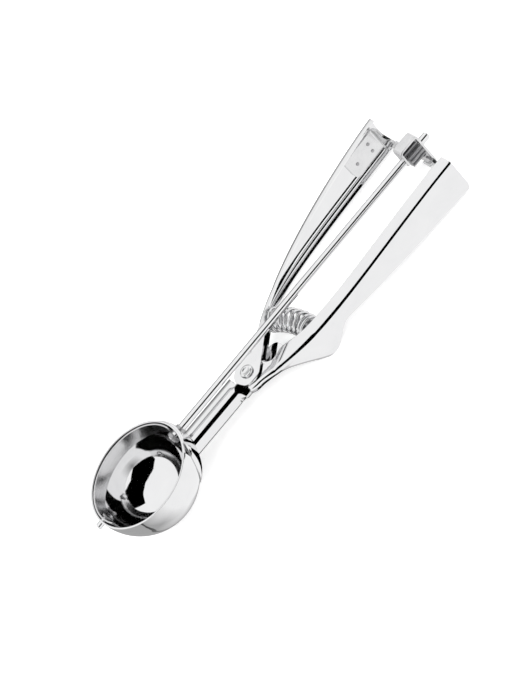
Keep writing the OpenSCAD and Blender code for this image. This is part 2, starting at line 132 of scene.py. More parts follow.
def finishPiece(obj, body, node, material):
    obj.data.materials.clear()
    obj.data.materials.append(material)
    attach(obj, body)
    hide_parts(node)


def arcPoints(centre, radius, start, end, count):
    return [(centre[0] + radius * math.cos(math.radians(start + (end - start) * i / count)),
             centre[1] + radius * math.sin(math.radians(start + (end - start) * i / count)))
            for i in range(count + 1)]


def spacedPoints(points, count):  # the same line with evenly spaced points
    points = [Vector(p) for p in points]
    lengths = [0.0]
    for a, b in zip(points, points[1:]):
        lengths.append(lengths[-1] + (b - a).length)
    result = []
    k = 0
    for i in range(count + 1):
        target = lengths[-1] * i / count
        while k < len(points) - 2 and lengths[k + 1] < target:
            k += 1
        span = max(lengths[k + 1] - lengths[k], 1e-12)
        result.append(points[k].lerp(points[k + 1], min(1.0, (target - lengths[k]) / span)))
    return result


def easedPoints(points, rounds):  # rounds the corners off a line, its ends stay
    for _ in range(rounds):
        eased = [(a + 2 * b + c) / 4 for a, b, c in zip(points, points[1:], points[2:])]
        points = [points[0]] + eased + [points[-1]]
    return points


def turnPiece(name, profile, centre, along, across, steps, closed=False):
    # profile holds (distance along the axis, radius), spun once round the axis
    bpy.ops.mesh.primitive_circle_add(vertices=len(profile), radius=blank, fill_type="NOTHING")
    obj = bpy.context.object
    obj.name = name
    obj.data.name = name
    for vertex, (distance, radius) in zip(obj.data.vertices, profile):
        vertex.co = Vector(centre) + Vector(along) * distance + Vector(across) * radius
    bpy.ops.object.mode_set(mode="EDIT")
    if not closed:
        shape = bmesh.from_edit_mesh(obj.data)
        last = len(profile) - 1
        for edge in list(shape.edges):
            if {v.index for v in edge.verts} == {0, last}:
                shape.edges.remove(edge)
        bmesh.update_edit_mesh(obj.data)
    bpy.ops.mesh.select_all(action="SELECT")
    bpy.ops.mesh.spin(steps=steps, angle=math.tau, center=centre, axis=along, use_auto_merge=True)
    bpy.ops.object.mode_set(mode="OBJECT")
    cleanShell(obj)
    return obj


def pressSheet(name, rows, columns, placePoint, facing, dropFace=None):
    # a flat grid, each corner moved to its place on the pressed surface
    bpy.ops.mesh.primitive_grid_add(x_subdivisions=rows, y_subdivisions=columns, size=2)
    obj = bpy.context.object
    obj.name = name
    obj.data.name = name
    spot = {}
    for vertex in obj.data.vertices:
        row = round((vertex.co.x + 1) / 2 * rows)
        column = round((vertex.co.y + 1) / 2 * columns)
        spot[vertex.index] = (row, column)
    for vertex in obj.data.vertices:
        vertex.co = placePoint(*spot[vertex.index])
    bpy.ops.object.mode_set(mode="EDIT")
    bpy.ops.mesh.select_all(action="DESELECT")
    if dropFace:
        shape = bmesh.from_edit_mesh(obj.data)
        for face in shape.faces:
            row = min(spot[v.index][0] for v in face.verts)
            column = min(spot[v.index][1] for v in face.verts)
            face.select = dropFace(row, column)
        bmesh.update_edit_mesh(obj.data)
        bpy.ops.mesh.delete(type="FACE")
    bpy.ops.mesh.select_all(action="SELECT")
    bpy.ops.mesh.remove_doubles(threshold=weldGap)
    shape = bmesh.from_edit_mesh(obj.data)
    place, direction = facing  # a point near the surface and the way it has to face
    nearest = min(shape.faces, key=lambda f: (f.calc_center_median() - Vector(place)).length)
    if nearest.normal.dot(Vector(direction)) < 0:
        bpy.ops.mesh.flip_normals()
    bpy.ops.object.mode_set(mode="OBJECT")
    return obj


def copyNode(name, node):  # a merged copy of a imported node, to be given soft edges
    makeActive(frame["nodes"][node])
    bpy.ops.object.duplicate()
    obj = bpy.context.object
    obj.parent = None
    obj.name = name
    obj.data.name = name
    editAll(obj)
    bpy.ops.mesh.remove_doubles(threshold=weldGap)
    bpy.ops.mesh.dissolve_limited(angle_limit=math.radians(0.5))
    bpy.ops.mesh.normals_make_consistent(inside=False)
    bpy.ops.object.mode_set(mode="OBJECT")
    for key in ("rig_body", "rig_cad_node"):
        if key in obj:
            del obj[key]
    return obj


def addSocket(group, title, side):
    kind = "NodeSocketColor" if title.endswith("Color") else "NodeSocketFloat"
    return group.interface.new_socket(title, in_out=side, socket_type=kind)


def newGroup(name, inputs, outputs):
    group = bpy.data.node_groups.new(name, "ShaderNodeTree")
    for title, value in inputs.items():
        addSocket(group, title, "INPUT").default_value = value
    for title in outputs:
        addSocket(group, title, "OUTPUT")
    return group, group.nodes.new("NodeGroupInput"), group.nodes.new("NodeGroupOutput")


polishBlend = {"lineDetail": 3.0, "lineShare": 0.35, "markDetail": 4.0, "markTwist": 0.6, "markFrom": 0.3,
               "markTo": 0.75, "markMost": 0.65}


def polishGroup():
    # fine lines left by the buffing wheel, and faint wipe marks
    group, source, target = newGroup(
        "polishMarks", {"Line Scale": 900.0, "Line Length": 0.03, "Mark Scale": 60.0, "Low": 0.04,
                        "High": 0.12, "Depth": 0.1}, ["Roughness", "Height", "Mask"])
    nodes, links = group.nodes, group.links
    coordinates = nodes.new("ShaderNodeTexCoord")
    stretch = nodes.new("ShaderNodeCombineXYZ")
    stretch.inputs["Y"].default_value = 1.0
    stretch.inputs["Z"].default_value = 1.0
    links.new(source.outputs["Line Length"], stretch.inputs["X"])
    drawn = nodes.new("ShaderNodeVectorMath")
    drawn.operation = "MULTIPLY"
    links.new(coordinates.outputs["Object"], drawn.inputs[0])
    links.new(stretch.outputs["Vector"], drawn.inputs[1])
    lines = nodes.new("ShaderNodeTexNoise")
    lines.inputs["Detail"].default_value = polishBlend["lineDetail"]
    links.new(drawn.outputs["Vector"], lines.inputs["Vector"])
    links.new(source.outputs["Line Scale"], lines.inputs["Scale"])
    marks = nodes.new("ShaderNodeTexNoise")
    marks.inputs["Detail"].default_value = polishBlend["markDetail"]
    marks.inputs["Distortion"].default_value = polishBlend["markTwist"]
    links.new(coordinates.outputs["Object"], marks.inputs["Vector"])
    links.new(source.outputs["Mark Scale"], marks.inputs["Scale"])
    blend = nodes.new("ShaderNodeMath")
    blend.operation = "MULTIPLY_ADD"
    blend.inputs[1].default_value = polishBlend["lineShare"]
    links.new(lines.outputs["Fac"], blend.inputs[0])
    shade = nodes.new("ShaderNodeMapRange")
    shade.inputs["From Min"].default_value = polishBlend["markFrom"]
    shade.inputs["From Max"].default_value = polishBlend["markTo"]
    shade.inputs["To Max"].default_value = polishBlend["markMost"]
    links.new(marks.outputs["Fac"], shade.inputs["Value"])
    links.new(shade.outputs["Result"], blend.inputs[2])
    rough = nodes.new("ShaderNodeMapRange")
    links.new(blend.outputs["Value"], rough.inputs["Value"])
    links.new(source.outputs["Low"], rough.inputs["To Min"])
    links.new(source.outputs["High"], rough.inputs["To Max"])
    links.new(rough.outputs["Result"], target.inputs["Roughness"])
    height = nodes.new("ShaderNodeMath")
    height.operation = "MULTIPLY"
    links.new(lines.outputs["Fac"], height.inputs[0])
    links.new(source.outputs["Depth"], height.inputs[1])
    links.new(height.outputs["Value"], target.inputs["Height"])
    links.new(shade.outputs["Result"], target.inputs["Mask"])
    return group


# the pointiness at which the worn edges and the darker corners start and are full
wearBlend = {"worn": (0.53, 0.62), "darkCorners": (0.47, 0.36), "patchDetail": 3.0}


def edgeGroup():
    # edges rubbed brighter and a little rougher by handling, and darker in the hollow corners
    group, source, target = newGroup(
        "edgeWear", {"Color": (0.8, 0.8, 0.8, 1.0), "Worn Color": (0.9, 0.9, 0.9, 1.0),
                     "Corner Color": (0.3, 0.3, 0.3, 1.0), "Roughness": 0.1, "Worn Roughness": 0.2,
                     "Patch Scale": 300.0}, ["Color", "Roughness"])
    nodes, links = group.nodes, group.links
    geometry = nodes.new("ShaderNodeNewGeometry")
    coordinates = nodes.new("ShaderNodeTexCoord")
    patches = nodes.new("ShaderNodeTexNoise")
    patches.inputs["Detail"].default_value = wearBlend["patchDetail"]
    links.new(coordinates.outputs["Object"], patches.inputs["Vector"])
    links.new(source.outputs["Patch Scale"], patches.inputs["Scale"])
    masks = []
    for low, high in (wearBlend["worn"], wearBlend["darkCorners"]):
        mask = nodes.new("ShaderNodeMapRange")
        mask.inputs["From Min"].default_value = low
        mask.inputs["From Max"].default_value = high
        links.new(geometry.outputs["Pointiness"], mask.inputs["Value"])
        broken = nodes.new("ShaderNodeMath")
        broken.operation = "MULTIPLY"
        links.new(mask.outputs["Result"], broken.inputs[0])
        links.new(patches.outputs["Fac"], broken.inputs[1])
        masks.append(broken)
    worn = nodes.new("ShaderNodeMix")
    worn.data_type = "RGBA"
    links.new(masks[0].outputs["Value"], worn.inputs["Factor"])
    links.new(source.outputs["Color"], worn.inputs["A"])
    links.new(source.outputs["Worn Color"], worn.inputs["B"])
    darkCorners = nodes.new("ShaderNodeMix")
    darkCorners.data_type = "RGBA"
    links.new(masks[1].outputs["Value"], darkCorners.inputs["Factor"])
    links.new(worn.outputs["Result"], darkCorners.inputs["A"])
    links.new(source.outputs["Corner Color"], darkCorners.inputs["B"])
    links.new(darkCorners.outputs["Result"], target.inputs["Color"])
    rough = nodes.new("ShaderNodeMix")
    rough.data_type = "FLOAT"
    links.new(masks[0].outputs["Value"], rough.inputs["Factor"])
    links.new(source.outputs["Roughness"], rough.inputs["A"])
    links.new(source.outputs["Worn Roughness"], rough.inputs["B"])
    links.new(rough.outputs["Result"], target.inputs["Roughness"])
    return group


steel = {"refraction": 2.5, "bumpDistance": 0.02 * mm, "wornRougher": 1.6}


def steelMaterial(name, values):
    material = bpy.data.materials.new(name)
    material.use_nodes = True
    nodes, links = material.node_tree.nodes, material.node_tree.links
    shader = nodes["Principled BSDF"]
    shader.inputs["Metallic"].default_value = 1.0
    shader.inputs["IOR"].default_value = steel["refraction"]
    polish = nodes.new("ShaderNodeGroup")
    polish.node_tree = polishMarks
    for title in ("Line Scale", "Line Length", "Mark Scale", "Low", "High", "Depth"):
        polish.inputs[title].default_value = values[title]
    tone = nodes.new("ShaderNodeMix")
    tone.data_type = "RGBA"
    tone.inputs["A"].default_value = (*values["light"], 1.0)
    tone.inputs["B"].default_value = (*values["dark"], 1.0)
    links.new(polish.outputs["Mask"], tone.inputs["Factor"])
    wear = nodes.new("ShaderNodeGroup")
    wear.node_tree = edgeWear
    wear.inputs["Worn Color"].default_value = (*values["worn"], 1.0)
    wear.inputs["Corner Color"].default_value = (*values["corner"], 1.0)
    wear.inputs["Worn Roughness"].default_value = values["High"] * steel["wornRougher"]
    links.new(tone.outputs["Result"], wear.inputs["Color"])
    links.new(polish.outputs["Roughness"], wear.inputs["Roughness"])
    bump = nodes.new("ShaderNodeBump")
    bump.inputs["Strength"].default_value = values["bump"]
    bump.inputs["Distance"].default_value = steel["bumpDistance"]
    links.new(polish.outputs["Height"], bump.inputs["Height"])
    links.new(wear.outputs["Color"], shader.inputs["Base Color"])
    links.new(wear.outputs["Roughness"], shader.inputs["Roughness"])
    links.new(bump.outputs["Normal"], shader.inputs["Normal"])
    return material


polishMarks = polishGroup()
edgeWear = edgeGroup()
finishes = {
    "polished": {"light": (0.86, 0.86, 0.865), "dark": (0.80, 0.80, 0.81), "worn": (0.9, 0.9, 0.9),
                 "corner": (0.45, 0.45, 0.45), "Line Scale": 1400.0, "Line Length": 0.05, "Mark Scale": 70.0,
                 "Low": 0.03, "High": 0.09, "Depth": 0.3, "bump": 0.12},
    "satin": {"light": (0.78, 0.78, 0.785), "dark": (0.70, 0.70, 0.71), "worn": (0.88, 0.88, 0.88),
              "corner": (0.3, 0.3, 0.3), "Line Scale": 1800.0, "Line Length": 0.1, "Mark Scale": 160.0,
              "Low": 0.12, "High": 0.26, "Depth": 0.8, "bump": 0.3},
    "gear": {"light": (0.42, 0.42, 0.43), "dark": (0.28, 0.28, 0.29), "worn": (0.75, 0.75, 0.75),
             "corner": (0.12, 0.12, 0.12), "Line Scale": 2200.0, "Line Length": 1.0, "Mark Scale": 400.0,
             "Low": 0.2, "High": 0.4, "Depth": 1.0, "bump": 0.4},
    "wire": {"light": (0.80, 0.80, 0.81), "dark": (0.66, 0.66, 0.67), "worn": (0.86, 0.86, 0.86),
             "corner": (0.25, 0.25, 0.25), "Line Scale": 1500.0, "Line Length": 0.6, "Mark Scale": 90.0,
             "Low": 0.03, "High": 0.08, "Depth": 0.3, "bump": 0.05},
}
polishedSteel = steelMaterial("polishedSteel", finishes["polished"])
satinSteel = steelMaterial("satinSteel", finishes["satin"])
gearSteel = steelMaterial("gearSteel", finishes["gear"])
wireSteel = steelMaterial("wireSteel", finishes["wire"])
say("finishes")


bowlPress = {"sheet": 1.0 * mm, "rimRound": 0.35 * mm, "saddleGap": 0.02 * mm, "saddleSheet": 1.5 * mm,
             "saddleEdge": 0.5 * mm, "saddleThinning": 4, "saddleAngle": 37.5, "saddleTilt": 25.0,
             "saddleDrop": 0.4 * mm, "saddleSoft": 0.2 * mm, "bushGap": 0.05 * mm}


def makeBowl():
    top = tidy(bowlHigh.z)
    inner = bowlRadius - bowlPress["sheet"]
    outside = arcPoints((0, 0), bowlRadius, 180, 90, 40)
    inside = arcPoints((0, 0), inner, 90, 180, 40)
    profile = outside + [(top, bowlRadius), (top, inner)] + inside
    bowl = turnPiece("bowlShell", profile, (bowlX, 0, 0), (0, 0, 1), (1, 0, 0), steps=160)
    softenEdges(bowl, bowlPress["rimRound"], segments=4, angle=50)
    smoothFaces(bowl)
    finishPiece(bowl, "frame", "bowl", polishedSteel)


def makeSaddle():
    tilt = math.radians(bowlPress["saddleTilt"])
    along = Vector((math.cos(tilt), 0, -math.sin(tilt)))
    across = Vector((math.sin(tilt), 0, math.cos(tilt)))
    inner = bowlRadius + bowlPress["saddleGap"]
    outer = bowlRadius + bowlPress["saddleSheet"]
    steps = 24
    reach = bowlPress["saddleAngle"]
    edge = bowlPress["saddleEdge"]
    outside = []
    inside = []
    for i in range(steps + 1):
        angle = math.radians(reach * i / steps)
        thin = outer - (outer - inner - edge) * (i / steps) ** bowlPress["saddleThinning"]
        outside.append((thin * math.cos(angle), thin * math.sin(angle)))
        inside.append((inner * math.cos(angle), inner * math.sin(angle)))
    inside.reverse()
    saddle = turnPiece("bowlSaddle", outside + inside, (bowlX, 0, 0), tuple(along), tuple(across), steps=120)
    trim = tidy(bowlHigh.z) - bowlPress["saddleDrop"]
    editAll(saddle)
    bpy.ops.mesh.bisect(plane_co=(0, 0, trim), plane_no=(0, 0, 1), use_fill=True, clear_outer=True)
    bpy.ops.object.mode_set(mode="OBJECT")
    cleanShell(saddle)
    softenEdges(saddle, bowlPress["saddleSoft"], angle=45)
    smoothFaces(saddle)
    finishPiece(saddle, "frame", "bowl_saddle", polishedSteel)


def ringProfile(inner, outer, start, end, chamfer):
    return [(start, inner), (start, outer - chamfer), (start + chamfer, outer), (end - chamfer, outer),
            (end, outer - chamfer), (end, inner)]


def makeRing(name, node, body, material, inner, chamfer=0.25 * mm):
    low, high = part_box(node)
    profile = ringProfile(inner, tidy(high.z), low.x, high.x, chamfer)
    ring = turnPiece(name, profile, (0, 0, 0), (1, 0, 0), (0, 0, 1), steps=72, closed=True)
    smoothFaces(ring, 50)
    finishPiece(ring, body, node, material)


makeBowl()
makeSaddle()
makeRing("rodBush", "rod_bush", "frame", gearSteel, rodRadius + bowlPress["bushGap"])
say("bowl")


neckPress = {"sheet": 1.2 * mm, "fold": 3.5 * mm, "crown": 6.0 * mm, "wallEnd": 10.0 * mm,
             "tongueSide": 1.0 * mm, "tongueOut": 21.0 * mm, "flareLength": 1.7 * mm, "flareReach": 5.7 * mm,
             "earClear": 8.1 * mm, "flareOut": 8.3 * mm, "flareLevel": 4.65 * mm, "browOut": 4.8 * mm,
             "browLevel": 8.8 * mm, "browRound": 0.8 * mm, "flareIn": 0.4 * mm, "flareDown": 0.8 * mm,
             "toeIn": 1.2 * mm, "toeUp": 1.4 * mm, "tongueRoot": 1.0 * mm, "soft": 0.22 * mm,
             "topSpot": 45.0 * mm}  # from the bowl's middle to a spot on the round top


def makeNeck():
    n = neckPress
    low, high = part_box("neck")
    half, floor, top = tidy(high.y), tidy(low.z), tidy(high.z)
    fold, crown = n["fold"], n["crown"]
    saddleOuter = bowlRadius + bowlPress["saddleSheet"]
    endX = rivetX - n["wallEnd"]
    section = arcPoints((half - fold, floor + fold), fold, -90, 0, 12)
    section += arcPoints((half - crown, top - crown), crown, 0, 90, 24)
    section += arcPoints((-half + crown, top - crown), crown, 90, 180, 24)
    section += arcPoints((-half + fold, floor + fold), fold, 180, 270, 12)
    floorSteps = 8
    section += [(-half + fold + 2 * (half - fold) * i / floorSteps, floor) for i in range(1, floorSteps)]
    section.append(section[0])
    # the near side of the mouth is spread to take the ears: a level top, a slope out, and a wall back in
    mouthHalf = [(half - crown, top), (n["browOut"] - n["browRound"], top),
                 (n["browOut"], floor + n["browLevel"]), (n["flareOut"], floor + n["flareLevel"]),
                 (n["flareOut"] - n["flareIn"], floor + n["flareLevel"] - n["flareDown"]),
                 (half, floor + n["toeUp"]), (half - n["toeIn"], floor)]
    sideSteps = (len(section) - floorSteps) // 2 - 1
    mouth = spacedPoints(mouthHalf, sideSteps)
    rows, mouthRows = 70, 14

    def mouthPoint(column):  # from the floor over the top to the floor again, then back along it
        if column <= sideSteps:
            return mouth[sideSteps - column]
        if column <= 2 * sideSteps + 1:
            point = mouth[column - sideSteps - 1]
            return Vector((-point.x, point.y))
        share = (column - 2 * sideSteps - 1) / floorSteps
        return Vector((mouth[-1].x * (2 * share - 1), floor))

    def place(row, column):
        y, z = section[column]
        startX = bowlX + math.sqrt(max(saddleOuter ** 2 - y ** 2 - z ** 2, 0.0))
        straightEnd = endX - n["flareLength"]
        if row <= rows:
            return Vector((startX + (straightEnd - startX) * row / rows, y, z))
        t = (row - rows) / mouthRows
        opened = min(1.0, 2.0 * t) if y < 0 else 0.0
        opened = opened * opened * (3 - 2 * opened)
        spread = Vector((y, z)).lerp(mouthPoint(column), opened)
        reach = n["flareReach"] if y < 0 else n["earClear"]
        lip = max(reach, math.sqrt(max(n["earClear"] ** 2 - spread.x ** 2, 0.0)))
        return Vector((straightEnd + (rivetX - lip - straightEnd) * t, spread.x, spread.y))

    tube = pressSheet("neckTube", rows + mouthRows, len(section) - 1, place,
                      facing=((bowlX + n["topSpot"], 0, top), (0, 0, 1)))
    applyModifier(tube, "SOLIDIFY", thickness=n["sheet"], offset=-1)
    # the tongue under the ears is a flat plate with a round end
    tongueHalf = half - n["tongueSide"]
    rootStart, rootEnd = endX - n["tongueRoot"], endX + n["tongueRoot"]
    outline = [(rootStart, -(half - fold)), (rootEnd, -tongueHalf)]
    outline += arcPoints((rivetX + n["tongueOut"] - tongueHalf, 0), tongueHalf, -90, 90, 40)
    outline += [(rootEnd, tongueHalf), (rootStart, half - fold)]
    bpy.ops.mesh.primitive_circle_add(vertices=len(outline), radius=blank, fill_type="NGON")
    tongue = bpy.context.object
    for vertex, (x, y) in zip(tongue.data.vertices, outline):
        vertex.co = Vector((x, y, floor))
    editAll(tongue)
    bpy.ops.mesh.extrude_region_move(TRANSFORM_OT_translate={"value": (0, 0, n["sheet"])})
    bpy.ops.mesh.select_all(action="SELECT")
    bpy.ops.mesh.normals_make_consistent(inside=False)
    bpy.ops.object.mode_set(mode="OBJECT")
    makeActive(tube)
    tongue.select_set(True)
    bpy.ops.object.join()
    softenEdges(tube, n["soft"], angle=50)
    smoothFaces(tube)
    finishPiece(tube, "frame", "neck", polishedSteel)


makeNeck()
say("neck")


handlePress = {
    "length": 132.0 * mm, "spread": 26.3 * mm, "bend": 22.2 * mm, "drift": 0.05, "rootOut": 9.9 * mm,
    "rootFade": 9.5 * mm, "fixedBottom": -14.5 * mm, "fixedRoot": -10.1 * mm, "leverRoot": -9.0 * mm,
    "endTop": 7.8 * mm, "fixedRise": (9.0 * mm, 1.35), "leverRise": (20.0 * mm, 1.45),  # start, power
    "waist": ((5.5 * mm, -4.0 * mm), (8.0 * mm, 3.0 * mm)), "shoulder": 12.0 * mm, "plateTo": 20.0 * mm,
    "fixedFlange": 7.0 * mm, "leverFlange": 5.2 * mm, "sheet": 1.0 * mm, "earRadius": 7.7 * mm,
    "webStart": 8.5 * mm, "fixedJoin": 31.0 * mm, "leverJoin": 27.0 * mm, "plateEdge": 8.0 * mm,
    "topFold": 3.0 * mm, "topFoldMore": 2.0 * mm, "topFoldFade": 50.0 * mm, "lowFold": 3.8 * mm,
    "topRoom": 0.45, "lowRoom": 0.3, "foldRoom": 0.7, "endCorner": 5.0 * mm, "edge": 0.24 * mm,
    "rootStart": 128.0, "rootEnd": 92.0, "fixedEar": (140.0, 300.0),  # angles round the rivet
    "leverOuterEar": (168.0, 96.0), "leverInnerEar": (192.0, 297.0),
    "flatFold": 0.85, "flatFrom": -2.0 * mm, "flatFull": 13.0 * mm, "flatLeast": 0.2, "flatSteep": 0.3,
    "flatFade": 45.0 * mm,
}
fingerBump = {"at": 33.0 * mm, "before": 23.0 * mm, "after": 17.6 * mm, "out": 2.8 * mm, "drop": 8.6 * mm,
              "lean": 0.25, "swell": 0.8}


def backLine(x, extra):
    h = handlePress
    return (h["spread"] * (1 - math.exp(-x / h["bend"])) + h["drift"] * x
            + extra * math.exp(-x / h["rootFade"]))


def topLine(x, rootTop, start, power):
    h = handlePress
    share = min(1.0, max(0.0, x - start) / (h["length"] - start))
    return rootTop + (h["endTop"] - rootTop) * (1 - (1 - share) ** power)


def bumpShare(x):
    b = fingerBump
    if x < b["at"]:
        t = (b["at"] - x) / b["before"]
        return 0.0 if t >= 1 else 0.5 * (1 + math.cos(math.pi * t)) * (1 - b["lean"] * math.sin(math.pi * t))
    t = (x - b["at"]) / b["after"]
    return 0.0 if t >= 1 else 0.5 * (1 + math.cos(math.pi * t))


def makeHandle(name, node, body, extra, side, bottom, rootTop):
    h = handlePress
    rise = h["fixedRise"] if extra else h["leverRise"]
    ear, plateTo = h["earRadius"], h["plateTo"]
    flange = h["fixedFlange"] if extra else h["leverFlange"]
    join = h["fixedJoin"] if extra else h["leverJoin"]
    joinSteps = 30
    curve = [(join * i / joinSteps, backLine(join * i / joinSteps, extra)) for i in range(joinSteps + 1)]
    if extra:
        outerRoot = arcPoints((0, 0), h["rootOut"], h["rootStart"], h["rootEnd"], count=16) + curve
        innerRoot = arcPoints((0, 0), ear, *h["fixedEar"], count=30)
        innerRoot += [*h["waist"], (h["shoulder"], h["plateEdge"]), (plateTo, h["plateEdge"])]
    else:
        outerRoot = arcPoints((0, 0), ear, *h["leverOuterEar"], count=16)
        outerRoot += [p for p in curve if p[0] >= h["webStart"]]
        innerRoot = arcPoints((0, 0), ear, *h["leverInnerEar"], count=26)
    innerRoot += [(join, backLine(join, extra) - flange)]
    rootSteps, runSteps = 84, 112
    outer = easedPoints(spacedPoints(outerRoot, rootSteps), rounds=4)
    inner = easedPoints(spacedPoints(innerRoot, rootSteps), rounds=10)
    for i in range(1, runSteps + 1):
        x = join + (h["length"] - join) * i / runSteps
        outer.append(Vector((x, backLine(x, extra))))
        inner.append(Vector((x, backLine(x, extra) - flange)))
    blendReach, blendWindow = 14, 6
    kept = [p.copy() for p in inner]
    # the two stretches of the inner edge meet in a soft bend
    for i in range(rootSteps - blendReach, rootSteps + blendReach):
        window = kept[i - blendWindow:i + blendWindow + 1]
        inner[i] = sum(window, Vector((0, 0))) / len(window)
    rows = len(outer) - 1
    inward = []
    for i in range(rows + 1):
        a, b = outer[max(i - 1, 0)], outer[min(i + 1, rows)]
        direction = (b - a).normalized()
        inward.append(Vector((direction.y, -direction.x)))
    webFrom = 0 if extra else next(i for i in range(rows + 1) if outer[i].x >= h["webStart"])
    flangeSteps, foldSteps, webSteps = 7, 9, 14
    topFoldEnd = flangeSteps + foldSteps
    webEnd = topFoldEnd + webSteps
    lowFoldEnd = webEnd + foldSteps
    columns = lowFoldEnd + flangeSteps
    bentRows = 6

    def place(row, column):
        out, inn, normal = outer[row], inner[row], inward[row]
        x = out.x
        height = topLine(x, rootTop, *rise) - bottom
        room = h["foldRoom"] * (inn - out).length
        topFold = min(h["topFold"] + h["topFoldMore"] * math.exp(-max(x, 0) / h["topFoldFade"]),
                      h["topRoom"] * height, room)
        lowFold = min(h["lowFold"], h["lowRoom"] * height, room)
        bent = 1.0 if row >= webFrom else max(0.0, 1 - (webFrom - row) / bentRows)
        grown = min(1.0, max(0.0, (x - h["flatFrom"]) / (h["flatFull"] - h["flatFrom"])))
        grown = h["flatLeast"] + (1 - h["flatLeast"]) * grown * grown * (3 - 2 * grown)
        flat = h["flatFold"] * math.exp(-(max(x, 0.0) / h["flatFade"]) ** 2) * grown
        fall = bent * topFold * (1 + h["flatSteep"] * flat)
        normal = normal.lerp((inn - out).normalized(), 1 - bent).normalized()
        corner = h["endCorner"]
        past = x - (h["length"] - corner)
        if column <= flangeSteps:
            point = inn.lerp(out + normal * topFold, column / flangeSteps)
            z = topLine(point.x, rootTop, *rise)
            part = 0.0
        elif column <= topFoldEnd:
            a = (column - flangeSteps) / foldSteps
            bow = bent * (1 - flat)
            turned = math.sin(a * math.pi / 2) * bow + a * (1 - bow)
            down = (1 - math.cos(a * math.pi / 2)) * (1 - flat) + a * flat
            point = out + normal * topFold * (1 - turned)
            z = topLine(point.x, rootTop, *rise) - fall * down
            part = 0.0
        elif column <= webEnd:
            a = (column - topFoldEnd) / webSteps
            point = out.copy()
            z = (topLine(x, rootTop, *rise) - fall) * (1 - a) + (bottom + bent * lowFold) * a
            part = a
        elif column <= lowFoldEnd:
            a = (lowFoldEnd - column) / foldSteps
            turned = math.sin(a * math.pi / 2) * bent + a * (1 - bent)
            point = out + normal * lowFold * (1 - turned)
            z = bottom + bent * lowFold * (1 - math.cos(a * math.pi / 2))
            part = 1.0
        else:
            a = (column - lowFoldEnd) / flangeSteps
            point = (out + normal * lowFold).lerp(inn, a)
            z = bottom
            part = 1 - a
        if past > 0 and column > topFoldEnd:  # lower corner of the end is cut round
            lift = corner - math.sqrt(max(corner ** 2 - past ** 2, 0.0))
            z = max(z, bottom + lift) if column <= lowFoldEnd else z + lift * part
        if extra and part:
            push = bumpShare(x) * (part * part * (3 - 2 * part)) ** fingerBump["swell"]
            point = point - normal * fingerBump["out"] * push
            z -= fingerBump["drop"] * push
        return Vector((rivetX + point.x, side * point.y, z))

    def drop(row, column):
        return row < webFrom and topFoldEnd <= column < webEnd

    gripRows = 40
    grip = outer[rows - gripRows]
    onWeb =(rivetX + grip.x, side * grip.y, (bottom + h["endTop"]) / 2)
    handle = pressSheet(name, rows, columns, place, facing=(onWeb, (0, side, 0)), dropFace=drop)
    applyModifier(handle, "SOLIDIFY", thickness=h["sheet"], offset=-1, use_quality_normals=True)
    softenEdges(handle, h["edge"], angle=55)
    smoothFaces(handle)
    finishPiece(handle, body, node, polishedSteel)


makeHandle("fixedHandle", "fixed_handle", "frame", handlePress["rootOut"], -1, handlePress["fixedBottom"],
           handlePress["fixedRoot"])
makeHandle("leverHandle", "lever_handle", "lever", 0.0, 1, tidy(leverLow.z), handlePress["leverRoot"])
say("handles")


rivetPress = {
    "head": 3.6 * mm, "shank": 2.5 * mm, "dimple": 0.7 * mm, "soft": 0.1 * mm,
    # millimetres up from the lower end, or down from the upper one, and in from the head's edge
    "lowHead": [(0, 1.0), (0.25, 0.55), (0.7, 0.3), (1.2, 0.3)],
    "topHead": [(1.4, 0), (0.9, 0), (0.42, 0.3), (0.12, 0.75), (0, 1.25), (0.12, 1.7), (0.5, 2.05),
                (0.68, 2.6)],
}


def makeRivet():
    r = rivetPress
    low, high = tidy(rivetLow.z), tidy(rivetHigh.z)
    foot = [(low + up * mm, r["head"] - inwards * mm) for up, inwards in r["lowHead"]]
    crown = [(high - down * mm, r["head"] - inwards * mm) for down, inwards in r["topHead"]]
    shank = [(foot[-1][0], r["shank"]), (crown[0][0], r["shank"])]
    profile = [(low, 0)] + foot + shank + crown + [(high - r["dimple"], 0)]
    rivet = turnPiece("pivotRivet", profile, (rivetX, 0, 0), (0, 0, 1), (1, 0, 0), steps=72)
    softenEdges(rivet, r["soft"], segments=2, angle=24)
    smoothFaces(rivet, 50)
    finishPiece(rivet, "frame", "pivot_rivet", polishedSteel)


def makeSoftCopy(name, node, body, slot, material, edge, slim=1.0):
    piece = copyNode(name, node)
    low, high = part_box(node)
    middle = (low + high) / 2
    slimmed = Matrix.Diagonal((slim, 1, slim, 1))
    piece.data.transform(Matrix.Translation(middle) @ slimmed @ Matrix.Translation(-middle))
    softenEdges(piece, edge, segments=2, angle=30)
    smoothFaces(piece, 30)
    finishPiece(piece, body, node, material)


smallParts = {  # node, body, slot, finish, soft edge
    "tangWelds": ("tang_welds", "frame", "satin_steel", satinSteel, 0.12 * mm),
    "rackStrip": ("rack", "lever", "satin_steel", satinSteel, 0.14 * mm),
    "rackWelds": ("rack_welds", "lever", "satin_steel", gearSteel, 0.12 * mm),
    "rackStop": ("rack_stop", "lever", "satin_steel", satinSteel, 0.15 * mm),
    "pinionGear": ("pinion", "scraper", "gear_steel", gearSteel, 0.08 * mm),
}

makeRivet()
for partName, choices in smallParts.items():
    makeSoftCopy(partName, *choices)
say("rivet and rack")


rodTurning = {"startChamfer": 0.2 * mm, "endChamfer": 0.6 * mm, "rings": 12, "soft": 0.12 * mm}
pinTurning = {"startChamfer": 0.5 * mm, "endChamfer": 0.2 * mm, "soft": 0.12 * mm}


